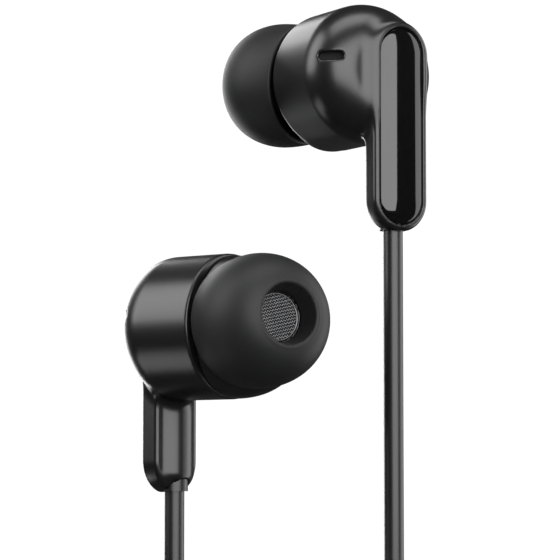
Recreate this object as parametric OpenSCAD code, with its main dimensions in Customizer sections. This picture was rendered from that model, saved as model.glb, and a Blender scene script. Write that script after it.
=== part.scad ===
// Wired in-ear earphones: two buds on thin leads, a moulded splitter,
// a folded and tied main cord and a 3.5 mm stereo plug.
// Each bud is drawn in its own frame: +X points into the head along the barrel,
// +Y to the front of the head, +Z up, and the cord's axis is the line X = Y = 0.

/* [Barrel] */
// Outside radius of the barrel
barrel_r = 7.1; // [6.9:0.1:7.4]
// Radius of the rounded outer end
barrel_round = 4; // [3.5:0.1:4.4]
// How far the barrel's axis sits in front of the cord
barrel_y = 1.7; // [1.5:0.1:1.9]
// Place of the seam between rear and front shell
seam_x = 8.9; // [8.8:0.1:9.2]
// Wall of the shells
wall = 1.0; // [0.9:0.05:1.1]

/* [Vent] */
// Length of the vent slot
vent_len = 2.6; // [2:0.1:3]
// Height of the vent slot
vent_h = 0.9; // [0.7:0.1:1.1]
// Height of the vent above the barrel's axis
vent_z = 1.1; // [0.8:0.1:1.4]

/* [Stem] */
// Width of the stem
stem_w = 6.2; // [6:0.1:6.4]
// Top of the stem above the barrel's axis
stem_top = 4.9; // [4.6:0.1:5.1]
// Bottom of the stem below the barrel's axis
stem_bottom = 16.1; // [15.5:0.1:16.5]
// Outer face of the stem
stem_x = -1.7; // [-1.8:0.05:-1.65]
// Thickness of the stem's flat part
stem_t = 2.1; // [2:0.1:2.3]
// Radius of the round back of the stem
spine_r = 2.5; // [2.4:0.1:2.6]
// Margin around the glossy insert
insert_gap = 0.55; // [0.5:0.05:0.7]

/* [Nozzle and ear tip] */
// Turn of the nozzle towards the front of the head
nozzle_bend = 22; // [20:1:24]
// Upward tilt of the nozzle
nozzle_rise = 4; // [2:1:5]
// Outside radius of the nozzle
nozzle_r = 2.75; // [2.7:0.05:2.8]
// Length of the nozzle from its root
nozzle_len = 6.2; // [6:0.1:6.4]
// Largest radius of the ear tip
tip_r = 6.45; // [6.2:0.05:6.6]
// Distance of the ear tip's mouth from the nozzle's root
tip_mouth = 8.6; // [8.4:0.1:8.8]

/* [Pose of the pair] */
// Turn of the left bud about the vertical
left_yaw = 120; // [110:1:130]
// Turn of the right bud about the vertical
right_yaw = -38; // [-45:1:-30]
// Sideways distance between the two leads
lead_gap = 21.8; // [21.8:0.1:21.8]
// How much lower the right bud hangs
right_drop = 26; // [26:1:26]

/* [Cords and plug] */
// Diameter of the two leads
lead_d = 2.0; // [1.9:0.1:2.0]
// Diameter of the main cord
main_d = 2.2; // [2.1:0.1:2.2]
// Radius of the plug's contacts
plug_r = 1.75; // [1.75:0.01:1.75]
// Length of the plug's contacts
plug_len = 14; // [14:1:14]

/* [Hidden] */
$fn = 48;
SHELL = "dimgray";
SATIN = "darkslategray";

// The nozzle's root, and its mouth seen from the bud's own origin
root_x = 11.4;
root_y = 3.0;
face_s = -0.3;        // the front shell's sloping face, along the nozzle
bore_r = 2.25;       // sound bore
vent_turn = 48.7;    // how far round the outer end the vent sits
mouth = [root_x + tip_mouth * cos(nozzle_rise) * cos(nozzle_bend),
    root_y + tip_mouth * cos(nozzle_rise) * sin(nozzle_bend), tip_mouth * sin(nozzle_rise)];

function turned(p, a) = [p[0] * cos(a) - p[1] * sin(a), p[0] * sin(a) + p[1] * cos(a), p[2]];

// The row's origin is the mouth of the left ear tip
left_at = -turned(mouth, left_yaw);
left_exit = left_at - [0, 0, stem_bottom];
harness_at = left_exit - [lead_gap / 2, 0, 0];
right_at = left_at - [lead_gap, 0, right_drop];

// ---------- helpers ----------
module left_bud() translate(left_at) rotate([0, 0, left_yaw]) children();
module right_bud() translate(right_at) rotate([0, 0, right_yaw]) mirror([0, 1, 0]) children();
module along_barrel() translate([0, barrel_y, 0]) rotate([0, 90, 0]) children();
module along_nozzle() translate([root_x, root_y, 0]) rotate([0, 90 - nozzle_rise, nozzle_bend]) children();

// The vent's place on the rounded outer end, with X pointing out of the surface
module at_vent() translate([barrel_round - 1.3, barrel_y + barrel_r - barrel_round, vent_z])
    rotate([0, 0, 90 + vent_turn]) translate([barrel_round, 0, 0]) children();

// A disc or ring on the barrel's axis, from x0 to x1
module ring(r_out, r_in, x0, x1) along_barrel() translate([0, 0, x0]) difference() {
    cylinder(r = r_out, h = x1 - x0);
    if (r_in > 0) translate([0, 0, -1]) cylinder(r = r_in, h = x1 - x0 + 2);
}

// Upright stadium outline in the bud's YZ plane, as a plate from x0 to x1
module pill(w, top, bottom, x0, x1) translate([x0, 0, 0]) rotate([90, 0, 90]) linear_extrude(x1 - x0) union() {
    translate([-w / 2, -bottom + w / 2]) square([w, top + bottom - w]);
    translate([0, top - w / 2]) circle(w / 2);
    translate([0, -bottom + w / 2]) circle(w / 2);
}

// Half section of the rounded barrel: radius across, place along the barrel upwards
module barrel_section(r, back, round, front) intersection() {
    union() {
        translate([0, back + round]) square([r, front - back - round]);
        translate([0, back]) square([r - round, round + 0.01]);
        translate([r - round, back + round]) circle(round);
    }
    translate([0, back]) square([r, front - back]);
}

// ---------- pieces of one bud ----------
module rear_shell_shape() difference() {
    union() {
        along_barrel() rotate_extrude() barrel_section(barrel_r, -1.3, barrel_round, seam_x);
        pill(stem_w, stem_top, stem_bottom, stem_x, stem_x + stem_t);
        intersection() {
            translate([-1.1, 0, -stem_bottom + 0.6]) cylinder(r = spine_r, h = stem_bottom - 0.6);
            translate([stem_x + stem_t - 0.1, -5, -20]) cube([4, 10, 20]);
        }
    }
    along_barrel() rotate_extrude() barrel_section(barrel_r - wall, 0.2, barrel_round - wall, seam_x + 1);
    pill(stem_w - 2 * insert_gap, stem_top - insert_gap, stem_bottom - insert_gap, stem_x - 1, stem_x + 0.28);
    translate([0, 0, -stem_bottom - 1]) cylinder(r = lead_d / 2 + 0.35, h = 5);
    translate([0, 0, -stem_bottom + 3]) cylinder(r = 0.7, h = stem_bottom - 4);
    at_vent() rotate([90, 0, 90]) translate([0, 0, -2]) linear_extrude(4) union() {
        square([vent_len - vent_h, vent_h], center = true);
        translate([(vent_len - vent_h) / 2, 0]) circle(vent_h / 2);
        translate([-(vent_len - vent_h) / 2, 0]) circle(vent_h / 2);
    }
}

module front_shell_shape() difference() {
    union() {
        intersection() {
            ring(barrel_r - 0.05, 0, seam_x, seam_x + 6);
            along_nozzle() translate([0, 0, face_s - 8]) cylinder(r1 = 16, r2 = 7.6, h = 8);
        }
        along_nozzle() translate([0, 0, face_s - 0.5]) cylinder(r = nozzle_r - 0.15, h = nozzle_len - face_s + 0.5);
        along_nozzle() translate([0, 0, nozzle_len - 1]) cylinder(r = nozzle_r, h = 0.6);
    }
    along_nozzle() translate([0, 0, -4]) cylinder(r = bore_r, h = nozzle_len + 8);
    along_nozzle() translate([0, 0, nozzle_len - 0.4]) cylinder(r = bore_r + 0.1, h = 1);
    intersection() {
        ring(barrel_r - wall, 0, seam_x - 1, seam_x + 4);
        along_nozzle() translate([0, 0, face_s - wall - 8]) cylinder(r1 = 15, r2 = 6.6, h = 8);
    }
}

module stem_insert_shape() pill(stem_w - 2 * insert_gap - 0.1, stem_top - insert_gap - 0.05,
    stem_bottom - insert_gap - 0.05, stem_x - 0.15, stem_x + 0.28);

// Umbrella-shaped silicone tip: outer dome, rounded mouth and inner sleeve
module ear_tip_shape() along_nozzle() rotate_extrude() polygon(concat(
    [[2.85, 1.0], [2.85, tip_mouth - 0.35], [3.1, tip_mouth], [3.5, tip_mouth]],
    [for (a = [80:-10:0]) [3.5 + (tip_r - 3.5) * cos(a), 3.2 + (tip_mouth - 3.2) * sin(a)]],
    [[tip_r - 0.25, 0.4], [tip_r - 0.85, 0.4], [tip_r - 0.75, 3.2]],
    [for (a = [20:20:60]) [3.7 + (tip_r - 4.5) * cos(a), 3.2 + (tip_mouth - 5) * sin(a)]],
    [[3.7, 6.2], [3.7, 1.0]]));

module nozzle_mesh_shape() along_nozzle() translate([0, 0, nozzle_len - 0.4]) cylinder(r = bore_r + 0.1, h = 0.25);

module driver_frame_shape() {
    ring(5.8, 5.0, 4.6, 8.6);
    ring(5.05, 3.5, 4.6, 5.2);
}
module driver_yoke_shape() {
    ring(3.5, 0, 3.4, 4.2);
    ring(3.5, 3.0, 4.19, 6.4);
}
module driver_magnet_shape() ring(2.2, 0, 4.2, 5.7);
module pole_plate_shape() ring(2.3, 0, 5.7, 6.4);
module voice_coil_shape() ring(2.8, 2.45, 5.0, 7.2);
module diaphragm_shape() along_barrel() rotate_extrude() polygon(concat(
    [[0, 7.9], [0, 7.78]], [for (r = [1:1:4]) [r, 7.78 - 0.58 * pow(r / 4, 2)]],
    [for (r = [4:-1:1]) [r, 7.9 - 0.58 * pow(r / 4, 2)]]));
module surround_shape() ring(5.0, 4.06, 7.15, 7.3);
module terminal_board_shape() ring(3.2, 0, 2.8, 3.4);
module vent_cloth_shape() at_vent() translate([-1.15, -1.5, -0.8]) cube([0.15, 3, 1.6]);
module cord_bushing_shape() translate([0, 0, -stem_bottom + 0.1]) difference() {
    cylinder(r = lead_d / 2 + 0.35, h = 3.9);
    translate([0, 0, -1]) cylinder(r = 0.7, h = 6);
}

// ---------- cords ----------
// Places are in the harness frame: midway between the leads, at the left stem's foot.
lane = lead_gap / 2;
left_route = [[lane, 0, 0.1], [lane, 0, -12], [lane, 0, -24], [lane, 0, -36], [lane, 0.3, -44], [lane, 0.8, -50],
    [lane, 1.1, -56]];
right_route = [[-lane, 0, -25.9], [-lane, 0, -34], [-lane, 0, -42], [-lane, -0.3, -46], [-lane, -0.8, -51],
    [-lane, -1.1, -56]];
left_end_route = [[-10.9, 5.5, -56], [-10.2, 5.5, -53.6], [-8.5, 5.5, -51.8], [-6, 5.5, -51.2], [-3.6, 5.4, -51.8],
    [-1.8, 5.1, -53.6], [-1.2, 4.5, -56], [-1.2, 3.2, -60], [-1.2, 1.6, -64], [-1.2, 0.4, -68], [-1.2, 0, -72]];
right_end_route = [for (p = left_end_route) [-p[0], -p[1], p[2]]];
start_route = [[0, 0, -88], [0, 0, -91], [0, 0, -94], [-0.9, 1.1, -97.4], [-2.5, 3, -99.1], [-4.3, 5, -99.1],
    [-5.9, 6.9, -97.4], [-6.8, 8, -94]];
tail_route = [[11.6, 10.4, -98], [11.6, 10.4, -104], [11.6, 10.4, -111], [11.6, 10.4, -118]];
top_z = -56;
left_bottom_z = -96;
right_bottom_z = -102.5;
main_top_z = -54;
main_bottom_z = -98;
plug_top_z = -118;

function unit(v) = v / norm(v);
function heading(p, i) = unit(p[min(i + 1, len(p) - 1)] - p[max(i - 1, 0)]);
function side_of(t) = unit(cross(abs(t[1]) < 0.9 ? [0, 1, 0] : [1, 0, 0], t));

// A round tube swept along a list of points
module tube(p, d, sides = 8) {
    n = len(p);
    rings = [for (i = [0:n - 1]) let (t = heading(p, i), u = side_of(t), w = cross(t, u))
        for (k = [0:sides - 1]) p[i] + d / 2 * (cos(360 * k / sides) * u + sin(360 * k / sides) * w)];
    skin = [for (i = [0:n - 2]) for (k = [0:sides - 1]) let (a = i * sides, b = a + sides, m = (k + 1) % sides)
        each [[a + k, a + m, b + m], [a + k, b + m, b + k]]];
    caps = [[for (k = [sides - 1:-1:0]) k], [for (k = [0:sides - 1]) (n - 1) * sides + k]];
    polyhedron(points = rings, faces = [for (f = concat(skin, caps)) [for (k = [len(f) - 1:-1:0]) f[k]]]);
}

module stadium(r, top, bottom) {
    translate([-r, bottom]) square([2 * r, top - bottom]);
    translate([0, top]) circle(r);
    translate([0, bottom]) circle(r);
}

// Folded turns of a cord: a racetrack ring from y0 to y1
module hank(r_out, r_in, top, bottom, y0, y1) translate([0, y1, 0]) rotate([90, 0, 0])
    linear_extrude(y1 - y0) difference() {
        stadium(r_out, top, bottom);
        stadium(r_in, top, bottom);
    }

module in_harness() translate(harness_at) children();
module at_plug() translate(harness_at + [11.6, 10.4, plug_top_z]) children();

module left_lead() color(SATIN) in_harness() tube(left_route, lead_d);
module right_lead() color(SATIN) in_harness() tube(right_route, lead_d);
module left_lead_end() color(SATIN) in_harness() tube(left_end_route, lead_d);
module right_lead_end() color(SATIN) in_harness() tube(right_end_route, lead_d);
module left_lead_hank() color(SATIN) in_harness() hank(lane + 1.1, lane - 1.1, top_z, left_bottom_z, 0.05, 6.6);
module right_lead_hank() color(SATIN) in_harness() hank(lane + 1.1, lane - 1.1, top_z, right_bottom_z, -6.6, -0.05);
module main_cord_start() color(SATIN) in_harness() tube(start_route, main_d);
module main_cord_hank() color(SATIN) in_harness() hank(12.8, 5.6, main_top_z, main_bottom_z, 6.8, 11.6);
module main_cord_tail() color(SATIN) in_harness() tube(tail_route, main_d);

module splitter() color(SHELL) in_harness() translate([0, 0, -88]) difference() {
    union() {
        translate([-1.2, 0, 0]) cylinder(r = 2.2, h = 16);
        translate([1.2, 0, 0]) cylinder(r = 2.2, h = 16);
        translate([-1.2, -2.2, 0]) cube([2.4, 4.4, 16]);
    }
    for (x = [-1.2, 1.2]) translate([x, 0, 15]) cylinder(r = 0.6, h = 2);
}

module cord_tie() color("black") in_harness() translate([0, 2.4, -80]) difference() {
    translate([-13.6, -9.8, 0]) cube([27.2, 19.8, 6]);
    translate([-12.9, -9.1, -1]) cube([25.8, 18.4, 8]);
}

module plug_relief() color(SATIN) at_plug() translate([0, 0, -7]) cylinder(r1 = 2.2, r2 = 1.5, h = 7);
module plug_handle() color(SHELL) at_plug() translate([0, 0, -25]) union() {
    cylinder(r = 3.3, h = 16.5);
    translate([0, 0, 16.5]) cylinder(r = 2.6, h = 1.5);
}
pin_top = -25;
module contact(r, top, length) at_plug() translate([0, 0, pin_top - top - length]) cylinder(r = r, h = length);
module plug_sleeve() color("gold") contact(plug_r, 0, 7.4);
module plug_insulators() color("black") {
    contact(plug_r - 0.02, 7.4, 0.6);
    contact(plug_r - 0.02, 10.2, 0.6);
}
module plug_ring() color("gold") contact(plug_r, 8, 2.2);
module plug_tip() color("gold") at_plug() translate([0, 0, pin_top - plug_len]) rotate_extrude() polygon([
    [0, 0], [0.7, 0], [1.7, 1.3], [1.15, 2], [plug_r, 2.7], [plug_r, 3.2], [0, 3.2]]);

// ---------- drawing ----------
color(SHELL) left_bud() rear_shell_shape();  // left_rear_shell
color(SHELL) left_bud() front_shell_shape();  // left_front_shell
color("black") left_bud() stem_insert_shape();  // left_stem_insert
color(SATIN) left_bud() ear_tip_shape();  // left_ear_tip
color("gray") left_bud() nozzle_mesh_shape();  // left_nozzle_mesh
color("silver") left_bud() driver_frame_shape();  // left_driver_frame
color("silver") left_bud() driver_yoke_shape();  // left_driver_yoke
color("gray") left_bud() driver_magnet_shape();  // left_driver_magnet
color("silver") left_bud() pole_plate_shape();  // left_pole_plate
color("orange") left_bud() voice_coil_shape();  // left_voice_coil
color("lightgray") left_bud() diaphragm_shape();  // left_diaphragm
color("lightgray") left_bud() surround_shape();  // left_surround
color("green") left_bud() terminal_board_shape();  // left_terminal_board
color("black") left_bud() vent_cloth_shape();  // left_vent_cloth
color("black") left_bud() cord_bushing_shape();  // left_cord_bushing

color(SHELL) right_bud() rear_shell_shape();  // right_rear_shell
color(SHELL) right_bud() front_shell_shape();  // right_front_shell
color("black") right_bud() stem_insert_shape();  // right_stem_insert
color(SATIN) right_bud() ear_tip_shape();  // right_ear_tip
color("gray") right_bud() nozzle_mesh_shape();  // right_nozzle_mesh
color("silver") right_bud() driver_frame_shape();  // right_driver_frame
color("silver") right_bud() driver_yoke_shape();  // right_driver_yoke
color("gray") right_bud() driver_magnet_shape();  // right_driver_magnet
color("silver") right_bud() pole_plate_shape();  // right_pole_plate
color("orange") right_bud() voice_coil_shape();  // right_voice_coil
color("lightgray") right_bud() diaphragm_shape();  // right_diaphragm
color("lightgray") right_bud() surround_shape();  // right_surround
color("green") right_bud() terminal_board_shape();  // right_terminal_board
color("black") right_bud() vent_cloth_shape();  // right_vent_cloth
color("black") right_bud() cord_bushing_shape();  // right_cord_bushing

left_lead();
left_lead_hank();
left_lead_end();
right_lead();
right_lead_hank();
right_lead_end();
splitter();
main_cord_start();
main_cord_hank();
main_cord_tail();
cord_tie();
plug_relief();
plug_handle();
plug_sleeve();
plug_ring();
plug_tip();
plug_insulators();
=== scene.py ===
import math

import bmesh
import bpy
import numpy as np
from mathutils import Matrix, Vector


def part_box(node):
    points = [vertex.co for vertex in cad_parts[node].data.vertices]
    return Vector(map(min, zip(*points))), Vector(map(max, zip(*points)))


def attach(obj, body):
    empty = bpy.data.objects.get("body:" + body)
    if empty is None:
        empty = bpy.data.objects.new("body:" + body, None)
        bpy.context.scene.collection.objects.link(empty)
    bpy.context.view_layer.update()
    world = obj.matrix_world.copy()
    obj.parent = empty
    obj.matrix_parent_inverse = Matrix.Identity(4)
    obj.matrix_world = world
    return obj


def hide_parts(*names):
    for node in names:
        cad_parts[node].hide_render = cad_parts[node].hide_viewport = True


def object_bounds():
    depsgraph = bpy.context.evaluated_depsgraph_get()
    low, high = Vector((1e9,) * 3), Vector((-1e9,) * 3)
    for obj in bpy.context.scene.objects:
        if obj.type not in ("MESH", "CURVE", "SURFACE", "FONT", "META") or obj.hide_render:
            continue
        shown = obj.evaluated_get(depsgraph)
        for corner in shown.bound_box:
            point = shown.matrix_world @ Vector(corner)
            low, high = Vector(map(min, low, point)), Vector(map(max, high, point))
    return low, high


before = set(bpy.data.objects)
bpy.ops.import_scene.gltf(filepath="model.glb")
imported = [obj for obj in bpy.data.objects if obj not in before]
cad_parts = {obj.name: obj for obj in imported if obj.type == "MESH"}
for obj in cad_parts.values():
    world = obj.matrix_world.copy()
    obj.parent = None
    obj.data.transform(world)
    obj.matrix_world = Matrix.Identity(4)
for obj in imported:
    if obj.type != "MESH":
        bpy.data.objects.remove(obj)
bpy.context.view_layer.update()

MM = 0.001

# ---------------------------------------------------------------- places, all in millimetres


def corner(node, which):
    """The lowest (0) or highest (1) corner of a node's box."""
    return np.array([float(c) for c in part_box(node)[which]]) / MM


def middle(node):
    return (corner(node, 0) + corner(node, 1)) / 2


LEFT_YAW = math.radians(120)
RIGHT_YAW = math.radians(-38)
STEM_BOTTOM = 16.1
LEFT_EXIT = middle("left_cord_bushing")
LEFT_EXIT[2] = corner("left_rear_shell", 0)[2]
RIGHT_EXIT = middle("right_cord_bushing")
RIGHT_EXIT[2] = corner("right_rear_shell", 0)[2]
HARNESS = np.array([(LEFT_EXIT[0] + RIGHT_EXIT[0]) / 2, LEFT_EXIT[1], LEFT_EXIT[2]])
BUDS = {
    "left": (LEFT_EXIT + [0, 0, STEM_BOTTOM], LEFT_YAW, 1),
    "right": (RIGHT_EXIT + [0, 0, STEM_BOTTOM], RIGHT_YAW, -1),
}

# ---------------------------------------------------------------- camera

VIEW_WIDTH = 56.0
CAMERA_AWAY = 260.0
CAMERA_RISE = math.radians(-4.5)
# The camera aims between the leads, a little below the left stem's foot
AIM = LEFT_EXIT - [11.3, 0, 4.85]


def make_camera():
    data = bpy.data.cameras.new("camera")
    data.sensor_width = 36
    data.lens = 36 * CAMERA_AWAY / VIEW_WIDTH
    data.clip_start = 0.01
    data.clip_end = 20
    cam = bpy.data.objects.new("camera", data)
    bpy.context.scene.collection.objects.link(cam)
    back = np.array([0, -math.cos(CAMERA_RISE), math.sin(CAMERA_RISE)])
    cam.location = (AIM + CAMERA_AWAY * back) * MM
    cam.rotation_euler = (math.pi / 2 - CAMERA_RISE, 0, 0)
    bpy.context.scene.camera = cam


make_camera()

# ---------------------------------------------------------------- materials


GRAIN_DEPTH = 0.02 * MM


def material(name, color, rough, grain=900.0, bump=0.02, spread=0.06, metal=0.0, tint=0.25, sheen=0.0,
             specular=0.5):
    """A procedural finish: fine grain in the bump, and soft patches in colour and roughness."""
    mat = bpy.data.materials.new(name)
    mat.use_nodes = True
    tree = mat.node_tree
    shader = tree.nodes["Principled BSDF"]
    shader.inputs["Metallic"].default_value = metal
    shader.inputs["Sheen Weight"].default_value = sheen
    shader.inputs["Specular IOR Level"].default_value = specular
    where = tree.nodes.new("ShaderNodeTexCoord")
    patches = tree.nodes.new("ShaderNodeTexNoise")
    patches.inputs["Scale"].default_value = grain / 6
    patches.inputs["Detail"].default_value = 4
    fine = tree.nodes.new("ShaderNodeTexNoise")
    fine.inputs["Scale"].default_value = grain * 6
    fine.inputs["Detail"].default_value = 3
    for noise in (patches, fine):
        tree.links.new(where.outputs["Object"], noise.inputs["Vector"])
    ramp = tree.nodes.new("ShaderNodeValToRGB")
    low, high = ramp.color_ramp.elements
    low.position, high.position = 0.3, 0.7
    low.color = [c * (1 - tint) for c in color] + [1]
    high.color = [min(1, c * (1 + tint)) for c in color] + [1]
    tree.links.new(patches.outputs["Fac"], ramp.inputs["Fac"])
    tree.links.new(ramp.outputs["Color"], shader.inputs["Base Color"])
    roughness = tree.nodes.new("ShaderNodeMapRange")
    roughness.inputs["To Min"].default_value = max(0.01, rough - spread)
    roughness.inputs["To Max"].default_value = min(1, rough + spread)
    tree.links.new(patches.outputs["Fac"], roughness.inputs["Value"])
    tree.links.new(roughness.outputs["Result"], shader.inputs["Roughness"])
    if bump > 0:
        bumps = tree.nodes.new("ShaderNodeBump")
        bumps.inputs["Strength"].default_value = bump
        bumps.inputs["Distance"].default_value = GRAIN_DEPTH
        tree.links.new(fine.outputs["Fac"], bumps.inputs["Height"])
        tree.links.new(bumps.outputs["Normal"], shader.inputs["Normal"])
    return mat


SATIN = material("satin_shell", (0.0035, 0.0035, 0.0036), 0.3, bump=0.06, spread=0.02)
GLOSS = material("piano_gloss", (0.0015, 0.0015, 0.0015), 0.05, bump=0.0, spread=0.01)
SILICONE = material("matte_silicone", (0.006, 0.0061, 0.0062), 0.54, bump=0.1, spread=0.03, specular=0.3)
WIRE = material("woven_wire", (0.17, 0.17, 0.175), 0.38, bump=0.1, metal=0.9)
RUBBER = material("cord_rubber", (0.004, 0.004, 0.0042), 0.34, bump=0.08, spread=0.03)
MOULDING = material("moulded_rubber", (0.006, 0.006, 0.0062), 0.38, bump=0.15, spread=0.04)
STRAP = material("strap_weave", (0.012, 0.012, 0.013), 0.8, grain=2500, bump=0.8, sheen=0.3)
GOLD = material("gold_plate", (0.83, 0.60, 0.25), 0.18, bump=0.04, metal=1, tint=0.05)
DARK = material("dark_plastic", (0.02, 0.02, 0.02), 0.5, bump=0.2)
STEEL = material("plated_steel", (0.6, 0.6, 0.6), 0.3, bump=0.1, metal=1, tint=0.08)
MAGNET = material("nickel_magnet", (0.55, 0.54, 0.5), 0.2, bump=0.06, metal=1, tint=0.08)
COPPER = material("lacquered_copper", (0.7, 0.32, 0.14), 0.35, bump=0.3, metal=1, tint=0.15)
FILM = material("diaphragm_film", (0.7, 0.7, 0.68), 0.25, bump=0.05, tint=0.05)
BOARD = material("solder_mask", (0.01, 0.12, 0.05), 0.4, bump=0.2)
CLOTH = material("acoustic_cloth", (0.003, 0.003, 0.003), 0.9, grain=3000, bump=0.9)


def dress(obj, mat):
    obj.data.materials.clear()
    obj.data.materials.append(mat)


# ---------------------------------------------------------------- meshes


def place(points, side):
    """Moves points from a bud's own frame, in millimetres, to the row's frame, in metres."""
    at, yaw, flip = BUDS[side]
    x, y, z = points[:, 0], points[:, 1] * flip, points[:, 2]
    turned = np.stack([x * math.cos(yaw) - y * math.sin(yaw), x * math.sin(yaw) + y * math.cos(yaw), z], axis=1)
    return (turned + at) * MM


def new_object(name, points, faces, mat, side=None):
    """points are in millimetres, in the row's frame, or in a bud's own frame when side is given."""
    points = np.asarray(points, float)
    where = place(points, side) if side else points * MM
    if side and BUDS[side][2] < 0:
        faces = [f[::-1] for f in faces] if isinstance(faces, list) else faces[:, ::-1]
    mesh = bpy.data.meshes.new(name)
    mesh.from_pydata(where.tolist(), [], faces if isinstance(faces, list) else faces.tolist())
    mesh.validate()
    obj = bpy.data.objects.new(name, mesh)
    bpy.context.scene.collection.objects.link(obj)
    dress(obj, mat)
    mesh.polygons.foreach_set("use_smooth", [True] * len(mesh.polygons))
    mesh.update()
    return obj


def surface(field, low, high, step):
    """Points and quads of the surface where field(points) is 0: a surface net, moved onto the surface."""
    axes = [np.arange(a, b + step, step) for a, b in zip(low, high)]
    size = [len(a) for a in axes]
    grid = np.stack(np.meshgrid(*axes, indexing="ij"), axis=-1).reshape(-1, 3)
    values = field(grid).reshape(size)
    inside = values < 0
    cells = [n - 1 for n in size]
    total = np.zeros(cells + [3])
    count = np.zeros(cells)
    corners = [(i, j, k) for i in (0, 1) for j in (0, 1) for k in (0, 1)]

    def at(array, c):
        return array[c[0]:c[0] + cells[0], c[1]:c[1] + cells[1], c[2]:c[2] + cells[2]]

    for a in corners:
        for axis in range(3):
            if a[axis]:
                continue
            b = tuple(c + (n == axis) for n, c in enumerate(a))
            va, vb = at(values, a), at(values, b)
            cut = at(inside, a) != at(inside, b)
            share = np.where(cut, va / np.where(cut, va - vb, 1), 0)
            for n in range(3):
                total[..., n] += cut * (a[n] + (share if n == axis else 0))
            count += cut
    used = count > 0
    index = -np.ones(cells, int)
    index[used] = np.arange(used.sum())
    origin = np.array([a[0] for a in axes])
    points = (np.argwhere(used) + total[used] / count[used][:, None]) * step + origin
    quads = []
    for axis in range(3):
        u, v = (axis + 1) % 3, (axis + 2) % 3
        lower = [slice(1, -1)] * 3
        upper = [slice(1, -1)] * 3
        lower[axis], upper[axis] = slice(0, -1), slice(1, None)
        first, second = inside[tuple(lower)], inside[tuple(upper)]
        edges = np.argwhere(first != second)
        leaving = first[tuple(edges.T)]
        for n in (u, v):
            edges[:, n] += 1
        ring = []
        for du, dv in ((0, 0), (1, 0), (1, 1), (0, 1)):
            cell = edges.copy()
            cell[:, u] -= du
            cell[:, v] -= dv
            ring.append(index[tuple(cell.T)])
        ring = np.stack(ring, axis=1)
        quads.append(np.where(leaving[:, None], ring, ring[:, ::-1]))
    points = settle(field, points, step)
    return points, np.concatenate(quads)


NEWTON_STEPS = 4
LEAST_SLOPE = 0.05


def settle(field, points, step):
    """Newton steps that put the points on the surface, each held within half a cell."""
    start = points.copy()
    tiny = step * 0.05
    for _ in range(NEWTON_STEPS):
        value = field(points)
        slope = np.stack([
            (field(points + tiny * e) - field(points - tiny * e)) / (2 * tiny) for e in np.eye(3)], axis=1)
        points = points - (value / np.maximum((slope ** 2).sum(1), LEAST_SLOPE))[:, None] * slope
        points = start + np.clip(points - start, -step / 2, step / 2)
    return points


def smooth_min(a, b, k):
    """The lesser of two fields, blended where they differ by less than k."""
    h = np.maximum(k - np.abs(a - b), 0) / k
    return np.minimum(a, b) - h * h * k / 4


def smooth_max(a, b, k):
    return -smooth_min(-a, -b, k)


def length2(a, b):
    return np.sqrt(a * a + b * b)


def prism(across, along, r):
    """A solid whose outline is across < 0 and whose length is along < 0, with edges of radius r."""
    a, b = across + r, along + r
    return np.minimum(np.maximum(a, b), 0) + length2(np.maximum(a, 0), np.maximum(b, 0)) - r


def pill(p, width, top, bottom):
    """Upright stadium in the bud's YZ plane."""
    z = np.clip(p[:, 2], -bottom + width / 2, top - width / 2)
    return length2(p[:, 1], p[:, 2] - z) - width / 2


# ---------------------------------------------------------------- the buds, in a bud's own frame

BARREL_R = 7.1
BARREL_Y = 1.7
BARREL_BACK = -1.3
BARREL_ROUND = 4.0
SEAM_X = 8.9
WALL = 1.0
STEM_W = 6.2
STEM_TOP = 4.9
STEM_X = -1.7
STEM_T = 2.1
SPINE_R = 2.6
SPINE_X = -1.0
SPINE_END = 1.9  # height of the spine's rounded foot
INSERT_GAP = 0.55
INSERT_DEPTH = 0.28
BUSHING_R = 1.35
BUSHING_LEN = 4.0
WIRE_CHANNEL_R = 0.7
HOLLOW_BACK = 0.2
VENT_TURN = math.radians(48.7)
VENT_LEN = 2.6
VENT_H = 0.9
VENT_Z = 1.1
ROOT = np.array([11.4, 3.0, 0.0])
BEND = math.radians(22)
RISE = math.radians(4)
NOZZLE = np.array([math.cos(RISE) * math.cos(BEND), math.cos(RISE) * math.sin(BEND), math.sin(RISE)])
NOZZLE_R = 2.6
NOZZLE_LEN = 6.2
BORE_R = 2.25
FACE_S = -0.3  # the front shell's face, along the nozzle from its root
FACE_R = 7.6
FACE_TAPER = 1.05
MESH_SEAT = 0.4
MOUTH_S = 8.6
TIP_R = 6.45
FINE = 0.17


def off_axis(p):
    return length2(p[:, 1] - BARREL_Y, p[:, 2])


def barrel(p, r, back, round_r):
    """The barrel with its rounded outer end, open to the front."""
    a = back + round_r - p[:, 0]
    b = off_axis(p) - (r - round_r)
    return length2(np.maximum(a, 0), np.maximum(b, 0)) + np.minimum(np.maximum(a, b), 0) - round_r


def vent(p):
    """The vent slot, cut straight into the rounded outer end."""
    centre = np.array([BARREL_BACK + BARREL_ROUND, BARREL_Y + BARREL_R - BARREL_ROUND, VENT_Z])
    out = np.array([-math.sin(VENT_TURN), math.cos(VENT_TURN), 0])
    along = np.array([math.cos(VENT_TURN), math.sin(VENT_TURN), 0])
    q = p - centre
    depth, run = q @ out, q @ along
    flat = (VENT_LEN - VENT_H) / 2
    across = length2(run - np.clip(run, -flat, flat), q[:, 2]) - VENT_H / 2
    return np.maximum(across, 2 - depth)


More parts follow.
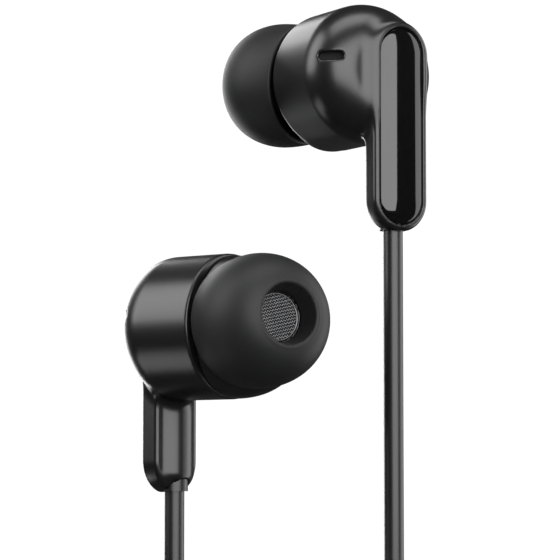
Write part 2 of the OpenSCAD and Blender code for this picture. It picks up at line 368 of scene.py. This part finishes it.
def rear_shell(p):
    """Barrel, stem plate and spine in one, less the hollow, insert pocket, cord channel and vent."""
    x, y, z = p.T
    body = barrel(p, BARREL_R, BARREL_BACK, BARREL_ROUND)
    plate = prism(pill(p, STEM_W, STEM_TOP, STEM_BOTTOM), np.abs(x - STEM_X - STEM_T / 2) - STEM_T / 2, 0.42)
    end = z + STEM_BOTTOM - 0.05 - SPINE_END
    end = np.where(end < 0, end * SPINE_R / SPINE_END, np.maximum(z + 2, 0))
    spine = np.sqrt((x - SPINE_X) ** 2 + y ** 2 + end ** 2) - SPINE_R
    spine = smooth_max(spine, STEM_X + 0.6 - x, 0.3)
    stem = smooth_min(plate, spine, 0.6)
    solid = smooth_min(body, stem, 1.5)
    solid = smooth_max(solid, x - SEAM_X, 0.25)
    hollow = barrel(p, BARREL_R - WALL, HOLLOW_BACK, BARREL_ROUND - WALL)
    solid = np.maximum(solid, -hollow)
    recess = np.maximum(pill(p, STEM_W - 2 * INSERT_GAP, STEM_TOP - INSERT_GAP, STEM_BOTTOM - INSERT_GAP),
                        x - STEM_X - INSERT_DEPTH)
    solid = smooth_max(solid, -recess, 0.1)
    channel_r = np.where(z < -STEM_BOTTOM + BUSHING_LEN, BUSHING_R, WIRE_CHANNEL_R)
    channel = np.maximum(length2(x, y) - channel_r, z + 3)
    solid = smooth_max(solid, -channel, 0.15)
    return smooth_max(solid, -vent(p), 0.16)


def front_shell(p):
    """The sloping front of the barrel and the nozzle, less the hollow, bore and mesh seat."""
    q = p - ROOT
    s = q @ NOZZLE
    far = np.sqrt(np.maximum((q ** 2).sum(1) - s ** 2, 0))
    slope = (far - FACE_R + FACE_TAPER * (s - FACE_S)) / math.hypot(1, FACE_TAPER)
    nose = smooth_max(off_axis(p) - (BARREL_R - 0.05), smooth_max(s - FACE_S, slope, 1.5), 2.2)
    nose = smooth_max(nose, SEAM_X + 0.05 - p[:, 0], 0.2)
    low = FACE_S - 0.8
    tube = prism(far - NOZZLE_R, np.abs(s - (NOZZLE_LEN + low) / 2) - (NOZZLE_LEN - low) / 2, 0.15)
    lip = prism(far - NOZZLE_R - 0.15, np.abs(s - NOZZLE_LEN + 0.7) - 0.3, 0.12)
    solid = smooth_min(smooth_min(nose, tube, 0.6), lip, 0.1)
    hollow = smooth_max(off_axis(p) - (BARREL_R - WALL), s - FACE_S + WALL, 1.6)
    solid = np.maximum(solid, -np.maximum(hollow, -5 - s))
    seat = np.where(s > NOZZLE_LEN - MESH_SEAT, BORE_R + 0.1, BORE_R)
    return np.maximum(solid, -np.maximum(far - seat, -4 - s))


INSERT_CROWN = 9.0
INSERT_FACE = STEM_X - 0.25


def stem_insert(p):
    """A pill with a crowned face."""
    x, y, z = p.T
    outline = pill(p, STEM_W - 2 * INSERT_GAP - 0.1, STEM_TOP - INSERT_GAP - 0.05, STEM_BOTTOM - INSERT_GAP - 0.05)
    z_in = np.clip(z, -STEM_BOTTOM + STEM_W / 2, STEM_TOP - STEM_W / 2)
    crown = INSERT_CROWN - np.sqrt((x - INSERT_FACE - INSERT_CROWN) ** 2 + y ** 2 + (z - z_in) ** 2)
    body = smooth_max(outline, -crown, 0.28)
    return np.maximum(body, x - STEM_X - INSERT_DEPTH + 0.01)


def net(name, field, low, high, step, mat, side=None):
    """An object from a field, sampled in the box from low to high."""
    points, quads = surface(field, low, high, step)
    return new_object(name, points, quads, mat, side)


def lathe(name, profile, origin, axis, mat, side=None, turns=96):
    """Turns a closed profile of (radius, place along the axis) about an axis through origin."""
    axis = np.asarray(axis, float) / np.linalg.norm(axis)
    u = np.cross(axis, [0, 0, 1] if abs(axis[2]) < 0.9 else [1, 0, 0])
    u /= np.linalg.norm(u)
    v = np.cross(axis, u)
    profile = np.asarray(profile, float)
    count = len(profile)
    points = []
    for k in range(turns):
        a = 2 * math.pi * k / turns
        ray = math.cos(a) * u + math.sin(a) * v
        points.append(np.asarray(origin) + profile[:, :1] * ray + profile[:, 1:] * axis)
    points = np.concatenate(points)
    faces = []
    for k in range(turns):
        a, b = k * count, ((k + 1) % turns) * count
        for i in range(count):
            j = (i + 1) % count
            faces.append([a + i, b + i, b + j, a + j])
    obj = new_object(name, points, faces, mat, side)
    tidy_mesh(obj)
    return obj


def tidy_mesh(obj):
    """Joins points that meet on an axis, and turns every face outwards."""
    bm = bmesh.new()
    bm.from_mesh(obj.data)
    bmesh.ops.remove_doubles(bm, verts=bm.verts, dist=1e-7)
    bmesh.ops.dissolve_degenerate(bm, dist=1e-8, edges=bm.edges)
    bmesh.ops.recalc_face_normals(bm, faces=bm.faces)
    bm.to_mesh(obj.data)
    bm.free()
    obj.data.polygons.foreach_set("use_smooth", [True] * len(obj.data.polygons))


def arc(cx, cy, rx, ry, a0, a1, n):
    """Points on an ellipse's arc, with angles in degrees."""
    angles = np.radians(np.linspace(a0, a1, n))
    return [(cx + rx * math.cos(a), cy + ry * math.sin(a)) for a in angles]


def tip_profile():
    """Half section of the ear tip: lip, dome, skirt edge, hollow, sleeve and tunnel."""
    lip = arc(3.18, MOUTH_S - 0.3, 0.3, 0.3, 190, 60, 9)
    dome = arc(2.75, 3.1, TIP_R - 2.75, MOUTH_S - 3.1, 78, 0, 30)
    skirt = [(6.43, 2.5), (6.38, 1.8), (6.3, 1.1)]
    edge = arc(5.95, 0.68, 0.28, 0.25, 0, -180, 9) + [(5.63, 1.4), (5.69, 2.3)]
    hollow = arc(3.4, 3.0, TIP_R - 3.4 - 0.75, 3.9, 0, 90, 14)
    sleeve = arc(3.62, 1.15, 0.12, 0.15, 0, -90, 4) + arc(2.98, 1.15, 0.12, 0.15, -90, -180, 4)
    shoulder = [(2.86, 2.4), (2.86, 4.6), (2.86, 6.0), (2.84, 6.3), (2.5, 6.36), (2.44, 6.42), (2.47, 6.55)]
    tunnel = [(2.55, 7.0), (2.66, 7.5), (2.76, 7.9)]
    return lip + dome + skirt + edge + hollow + [(3.7, 6.2), (3.72, 4.5), (3.74, 3.2)] + sleeve + shoulder + tunnel


WEAVE_PITCH = 0.21
WEAVE_WIRE_R = 0.055
WEAVE_TURN = math.radians(32)


def woven_disc(name, side):
    """Real wires, over and under each other, inside a thin rim."""
    pitch, wire_r, radius, sides = WEAVE_PITCH, WEAVE_WIRE_R, BORE_R + 0.04, 6
    u = np.cross(NOZZLE, [0, 0, 1])
    u /= np.linalg.norm(u)
    v = np.cross(NOZZLE, u)
    turn = WEAVE_TURN
    warp = math.cos(turn) * u + math.sin(turn) * v
    weft = -math.sin(turn) * u + math.cos(turn) * v
    centre = ROOT + (NOZZLE_LEN - 0.2) * NOZZLE
    points, faces = [], []
    half = int(radius / pitch)
    for along, across, phase in ((warp, weft, 0), (weft, warp, 1)):
        for n in range(-half, half + 1):
            reach = math.sqrt(max(radius ** 2 - (n * pitch) ** 2, 0))
            steps = max(4, int(4 * reach / pitch))
            first = len(points)
            for i in range(steps + 1):
                t = -reach + 2 * reach * i / steps
                wave = math.cos(math.pi * (t / pitch + n + phase)) * wire_r * 0.9
                spot = centre + t * along + n * pitch * across + wave * NOZZLE
                for k in range(sides):
                    a = 2 * math.pi * k / sides
                    points.append(spot + wire_r * (math.cos(a) * across + math.sin(a) * NOZZLE))
            for i in range(steps):
                a, b = first + i * sides, first + (i + 1) * sides
                for k in range(sides):
                    m = (k + 1) % sides
                    faces.append([a + k, a + m, b + m, b + k])
            faces.append([first + k for k in range(sides)][::-1])
            faces.append([first + steps * sides + k for k in range(sides)])
    obj = new_object(name, points, faces, WIRE, side)
    tidy_mesh(obj)
    return obj


def make_bud(side):
    """The fine pieces that stand for one bud's visible CAD nodes."""
    shell = net(f"{side}_shell", rear_shell, (-2.2, -6.0, -16.6), (9.2, 9.3, 7.6), FINE, SATIN, side)
    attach(shell, "harness")
    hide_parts(f"{side}_rear_shell")
    front = net(f"{side}_nose", front_shell, (8.0, -6.0, -7.6), (18.4, 9.4, 7.6), FINE, SATIN, side)
    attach(front, "harness")
    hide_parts(f"{side}_front_shell")
    insert = net(f"{side}_inlay", stem_insert, (-2.4, -3.0, -16.0), (-0.8, 3.0, 4.8), 0.13, GLOSS, side)
    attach(insert, "harness")
    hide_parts(f"{side}_stem_insert")
    tip = lathe(f"{side}_silicone_tip", tip_profile(), ROOT, NOZZLE, SILICONE, side, 128)
    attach(tip, f"{side}_ear_tip")
    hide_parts(f"{side}_ear_tip")
    mesh = woven_disc(f"{side}_wire_mesh", side)
    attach(mesh, "harness")
    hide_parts(f"{side}_nozzle_mesh")
    rim = lathe(f"{side}_mesh_rim", arc(BORE_R - 0.02, NOZZLE_LEN - 0.1, 0.09, 0.09, 0, 330, 12), ROOT, NOZZLE,
                WIRE, side, 96)
    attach(rim, "harness")


# ---------------------------------------------------------------- cords, in the harness frame

LANE = 10.9
LEAD_D = 2.0
MAIN_D = 2.2
LEFT_ROUTE = [[LANE, 0, 0.1], [LANE, 0, -12], [LANE, 0, -24], [LANE, 0, -36], [LANE, 0.3, -44], [LANE, 0.8, -50],
              [LANE, 1.1, -56]]
RIGHT_ROUTE = [[-LANE, 0, -25.9], [-LANE, 0, -34], [-LANE, 0, -42], [-LANE, -0.3, -46], [-LANE, -0.8, -51],
               [-LANE, -1.1, -56]]
LEFT_END_ROUTE = [[-10.9, 5.5, -56], [-10.2, 5.5, -53.6], [-8.5, 5.5, -51.8], [-6, 5.5, -51.2], [-3.6, 5.4, -51.8],
                  [-1.8, 5.1, -53.6], [-1.2, 4.5, -56], [-1.2, 3.2, -60], [-1.2, 1.6, -64], [-1.2, 0.4, -68],
                  [-1.2, 0, -72]]
START_ROUTE = [[0, 0, -88], [0, 0, -91], [0, 0, -94], [-0.9, 1.1, -97.4], [-2.5, 3, -99.1], [-4.3, 5, -99.1],
               [-5.9, 6.9, -97.4], [-6.8, 8, -94]]
TAIL_ROUTE = [[11.6, 10.4, -98], [11.6, 10.4, -104], [11.6, 10.4, -111], [11.6, 10.4, -118]]
TOP_Z = -56
LEFT_BOTTOM_Z = -96
RIGHT_BOTTOM_Z = -102.5
MAIN_TOP_Z = -54
MAIN_BOTTOM_Z = -98
LEAD_LANES = (1.1, 3.3, 5.5)
MAIN_LAYERS = (6.8, 9.2, 11.6)
MAIN_LANES = (8.0, 10.4)
MAIN_TURNS = [(0, 0), (0, 1), (1, 1), (1, 0), (2, 0), (2, 1)]
STEP_MM = 1.0


def smooth_line(points):
    """A Catmull-Rom line through the points, about a point a millimetre."""
    p = np.asarray(points, float)
    p = np.concatenate([[2 * p[0] - p[1]], p, [2 * p[-1] - p[-2]]])
    out = []
    for i in range(1, len(p) - 2):
        n = max(2, int(np.linalg.norm(p[i + 1] - p[i]) / STEP_MM))
        for t in np.arange(n) / n:
            a = 2 * p[i]
            b = p[i + 1] - p[i - 1]
            c = 2 * p[i - 1] - 5 * p[i] + 4 * p[i + 1] - p[i + 2]
            d = -p[i - 1] + 3 * p[i] - 3 * p[i + 1] + p[i + 2]
            out.append((a + b * t + c * t * t + d * t ** 3) / 2)
    out.append(p[-2])
    return out


def ease(t):
    """0 to 1 with a smooth start and end."""
    t = min(max(t, 0.0), 1.0)
    return t * t * (3 - 2 * t)


def run(x0, x1, y0, y1, z0, z1, start=0.0, share=1.0):
    """A straight side of the hank. Its shift takes share of its length, from start."""
    n = max(2, int(abs(z1 - z0) / STEP_MM))
    out = []
    for i in range(1, n + 1):
        t = i / n
        s = ease((t - start) / share)
        out.append([x0 + (x1 - x0) * s, y0 + (y1 - y0) * s, z0 + (z1 - z0) * t])
    return out


def bend(r, y, z, side, up):
    """A half turn at an end of the hank, starting on side (+1 right, -1 left)."""
    n = int(math.pi * r / STEP_MM)
    out = []
    for i in range(1, n + 1):
        a = math.pi * i / n
        out.append([side * r * math.cos(a), y, z + (r if up else -r) * math.sin(a)])
    return out


def lead_line(route, end_route, side, bottom):
    """A lead: down from its bud, twice round the hank, then over to the splitter."""
    near, mid, far = (side * lane for lane in LEAD_LANES)
    x = side * LANE
    line = smooth_line(route)
    line += run(x, x, near, near, TOP_Z, bottom)
    line += bend(LANE, near, bottom, side, False)
    line += run(-x, -x, near, mid, bottom, TOP_Z)
    line += bend(LANE, mid, TOP_Z, -side, True)
    line += run(x, x, mid, mid, TOP_Z, bottom)
    line += bend(LANE, mid, bottom, side, False)
    line += run(-x, -x, mid, far, bottom, TOP_Z)
    line += smooth_line(end_route)[1:]
    return line


def main_line():
    """The main cord: out of the splitter, six turns in three layers, then down to the plug."""
    line = smooth_line(START_ROUTE)
    height = MAIN_BOTTOM_Z - MAIN_TOP_Z
    slots = len(MAIN_TURNS) - 1
    bottom = START_ROUTE[-1][2]
    for n, (layer, lane) in enumerate(MAIN_TURNS):
        r, y = MAIN_LAYERS[layer], MAIN_LANES[lane]
        line += run(-r, -r, y, y, bottom, MAIN_TOP_Z)
        line += bend(r, y, MAIN_TOP_Z, -1, True)
        if n == slots:
            line += run(r, r, y, y, MAIN_TOP_Z, MAIN_TOP_Z + height)
            break
        r2, y2 = MAIN_LAYERS[MAIN_TURNS[n + 1][0]], MAIN_LANES[MAIN_TURNS[n + 1][1]]
        line += run(r, r2, y, y2, MAIN_TOP_Z, MAIN_BOTTOM_Z, (slots - 1 - n) / slots, 1 / slots)
        line += bend(r2, y2, MAIN_BOTTOM_Z, 1, False)
        bottom = MAIN_BOTTOM_Z
    return line + smooth_line(TAIL_ROUTE)[1:]


def make_cord(name, line, diameter):
    """A bevelled curve along a line of points in the harness frame."""
    curve = bpy.data.curves.new(name, "CURVE")
    curve.dimensions = "3D"
    curve.bevel_depth = diameter / 2 * MM
    curve.bevel_resolution = 7
    curve.use_fill_caps = True
    spline = curve.splines.new("POLY")
    spline.points.add(len(line) - 1)
    for point, where in zip(spline.points, line):
        point.co = [*((np.asarray(where) + HARNESS) * MM), 1]
    spline.use_smooth = True
    curve.materials.append(RUBBER)
    obj = bpy.data.objects.new(name, curve)
    bpy.context.scene.collection.objects.link(obj)
    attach(obj, "harness")
    return obj


# ---------------------------------------------------------------- splitter, tie and plug

SPLIT_TOP = -72.0
SPLIT_BOTTOM = -88.0
SPLIT_R = 2.2
RIB_PITCH = 1.6
TIE_Z = -77
TIE_HEIGHT = 6
TIE_WALL = 0.64
TIE_Y = 2.4
TIE_HALF_X = 13.6
TIE_HALF_Y = 9.8


def splitter(p):
    """A flat moulded sleeve with softened ends and three shallow grip rings."""
    q = p - HARNESS
    x, y, z = q.T
    half = (SPLIT_TOP - SPLIT_BOTTOM) / 2
    mid = (SPLIT_TOP + SPLIT_BOTTOM) / 2
    taper = 0.35 * np.clip(np.abs(z - mid) / half, 0, 1) ** 3
    off = np.abs(z - mid)
    grooves = 0.16 * np.exp(-((off - np.round(off / RIB_PITCH) * RIB_PITCH) / 0.28) ** 2)
    grooves = grooves * (off < 1.5 * RIB_PITCH)
    outline = length2(x - np.clip(x, -1.2, 1.2), y) - (SPLIT_R - taper) + grooves
    return prism(outline, np.abs(z - mid) - half, 0.55)


def tie(p):
    """A strap round the hank, with a folded-back tab at the front."""
    q = p - HARNESS
    x, y, z = q.T
    outer = box_outline(x, y - TIE_Y, TIE_HALF_X, TIE_HALF_Y, 2.4)
    off = np.abs(z - TIE_Z)
    strap = prism(np.abs(outer + TIE_WALL / 2) - TIE_WALL / 2, off - TIE_HEIGHT / 2, 0.2)
    tab = prism(np.maximum(np.abs(x - 7) - 4.2, np.abs(y + 7.75) - 0.3), off - 2.7, 0.22)
    return smooth_min(strap, tab, 0.15)


def box_outline(x, y, half_x, half_y, r):
    """A rectangle with corners of radius r."""
    a, b = np.abs(x) - half_x + r, np.abs(y) - half_y + r
    return length2(np.maximum(a, 0), np.maximum(b, 0)) + np.minimum(np.maximum(a, b), 0) - r


PLUG_AT = HARNESS + TAIL_ROUTE[-1]
RELIEF_RIBS = 5
RELIEF_PITCH = 1.3


def make_plug():
    """The ribbed strain relief and the waisted handle, turned about the tail of the main cord."""
    ribs = []
    for i in range(RELIEF_RIBS):
        z = -0.5 - RELIEF_PITCH * i
        r = 1.32 + 0.16 * i
        ribs += [(r + 0.28, z), (r + 0.28, z - 0.7), (r - 0.02, z - 0.85), (r - 0.02, z - 1.2)]
    relief = lathe("plug_strain_relief", [(0.0, 0.0), (1.35, 0.0)] + ribs + [(2.2, -7.0), (0.0, -7.0)],
                   PLUG_AT, (0, 0, 1), MOULDING)
    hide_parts("plug_relief")
    grip = arc(2.2, -7.4, 0.4, 0.4, 90, 0, 5) + arc(2.7, -9.2, 0.6, 0.8, 90, 0, 6)
    grip += [(3.3 - 0.22 * math.sin(math.pi * t) ** 2, -9.5 - 14 * t) for t in np.linspace(0, 1, 15)]
    grip += arc(2.8, -24.4, 0.5, 0.6, 0, -90, 6)
    handle = lathe("plug_body", [(0.0, -7.0)] + grip + [(0.0, -25.0)], PLUG_AT, (0, 0, 1), MOULDING)
    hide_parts("plug_handle")
    for obj in (relief, handle):
        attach(obj, "harness")
    return relief, handle


def make_harness():
    """The three cords, the splitter, the tie and the plug's mouldings."""
    left = lead_line(LEFT_ROUTE, LEFT_END_ROUTE, 1, LEFT_BOTTOM_Z)
    right_end = [[-x, -y, z] for x, y, z in LEFT_END_ROUTE]
    right = lead_line(RIGHT_ROUTE, right_end, -1, RIGHT_BOTTOM_Z)
    main = main_line()
    left_cord = make_cord("left_lead_cord", left, LEAD_D)
    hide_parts("left_lead", "left_lead_hank", "left_lead_end")
    right_cord = make_cord("right_lead_cord", right, LEAD_D)
    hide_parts("right_lead", "right_lead_hank", "right_lead_end")
    main_cord = make_cord("main_cord", main, MAIN_D)
    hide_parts("main_cord_start", "main_cord_hank", "main_cord_tail")
    low, high = HARNESS + [-4.2, -2.9, -88.6], HARNESS + [4.2, 2.9, -71.4]
    sleeve = net("splitter_sleeve", splitter, low, high, 0.2, MOULDING)
    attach(sleeve, "harness")
    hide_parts("splitter")
    low, high = HARNESS + [-14.2, -9.0, -80.6], HARNESS + [14.2, 12.8, -73.4]
    strap = net("tie_strap", tie, low, high, 0.22, STRAP)
    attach(strap, "harness")
    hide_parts("cord_tie")
    relief, handle = make_plug()


make_harness()
for bud in BUDS:
    make_bud(bud)

# ---------------------------------------------------------------- carried-over CAD nodes

FINISHES = {
    "driver_frame": DARK, "driver_yoke": STEEL, "driver_magnet": MAGNET, "pole_plate": STEEL,
    "voice_coil": COPPER, "diaphragm": FILM, "surround": FILM, "terminal_board": BOARD,
    "vent_cloth": CLOTH, "cord_bushing": RUBBER,
}
for bud in BUDS:
    for node, finish in FINISHES.items():
        dress(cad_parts[f"{bud}_{node}"], finish)
for node in ("plug_sleeve", "plug_ring", "plug_tip"):
    dress(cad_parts[node], GOLD)
dress(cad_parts["plug_insulators"], DARK)

# ---------------------------------------------------------------- floor, world and lights


def make_floor():
    bottom = float(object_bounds()[0][2]) - 0.004
    size = 1.6
    mesh = bpy.data.meshes.new("floor")
    mesh.from_pydata([(-size, -size, bottom), (size, -size, bottom), (size, size, bottom), (-size, size, bottom)],
                     [], [(0, 1, 2, 3)])
    floor = bpy.data.objects.new("floor", mesh)
    bpy.context.scene.collection.objects.link(floor)
    floor.visible_glossy = False
    dress(floor, material("pale_floor", (0.8, 0.8, 0.8), 0.8, grain=60, bump=0.0, tint=0.02))


def make_world():
    """White where the camera looks past the object, and dim studio grey in its reflections."""
    world = bpy.data.worlds.new("studio")
    bpy.context.scene.world = world
    world.use_nodes = True
    tree = world.node_tree
    tree.nodes.clear()
    out = tree.nodes.new("ShaderNodeOutputWorld")
    mix = tree.nodes.new("ShaderNodeMixShader")
    path = tree.nodes.new("ShaderNodeLightPath")
    dim = tree.nodes.new("ShaderNodeBackground")
    dim.inputs["Color"].default_value = (0.5, 0.5, 0.52, 1)
    dim.inputs["Strength"].default_value = 0.12
    white = tree.nodes.new("ShaderNodeBackground")
    white.inputs["Color"].default_value = (1, 1, 1, 1)
    white.inputs["Strength"].default_value = 1.05
    tree.links.new(path.outputs["Is Camera Ray"], mix.inputs["Fac"])
    tree.links.new(dim.outputs["Background"], mix.inputs[1])
    tree.links.new(white.outputs["Background"], mix.inputs[2])
    tree.links.new(mix.outputs["Shader"], out.inputs["Surface"])


def softbox(name, azimuth, elevation, away, width, height, glow):
    """A panel facing the buds. Azimuth 0 is the camera's side, and 90 is the picture's right."""
    a, e = math.radians(azimuth), math.radians(elevation)
    way = Vector((math.sin(a) * math.cos(e), -math.cos(a) * math.cos(e), math.sin(e)))
    data = bpy.data.lights.new(name, "AREA")
    data.shape = "RECTANGLE"
    data.size, data.size_y = width, height
    data.energy = glow * math.pi * width * height
    light = bpy.data.objects.new(name, data)
    bpy.context.scene.collection.objects.link(light)
    light.location = Vector(AIM * MM) + way * away
    light.rotation_euler = (-way).to_track_quat("-Z", "Y").to_euler()


make_floor()
make_world()
bpy.context.scene.view_settings.view_transform = "Standard"
softbox("front_box", 20, 14, 0.75, 1.0, 0.62, 5.4)
softbox("left_box", -84, 29, 0.6, 0.34, 0.52, 5.2)
softbox("left_low", -96, -38, 0.6, 0.3, 0.2, 2.2)
softbox("right_box", 109, 4, 0.6, 0.58, 0.8, 2.6)
softbox("left_rim", -152, 8, 0.6, 0.3, 0.6, 5.0)
softbox("top_box", 10, 78, 0.6, 0.6, 0.3, 4.5)
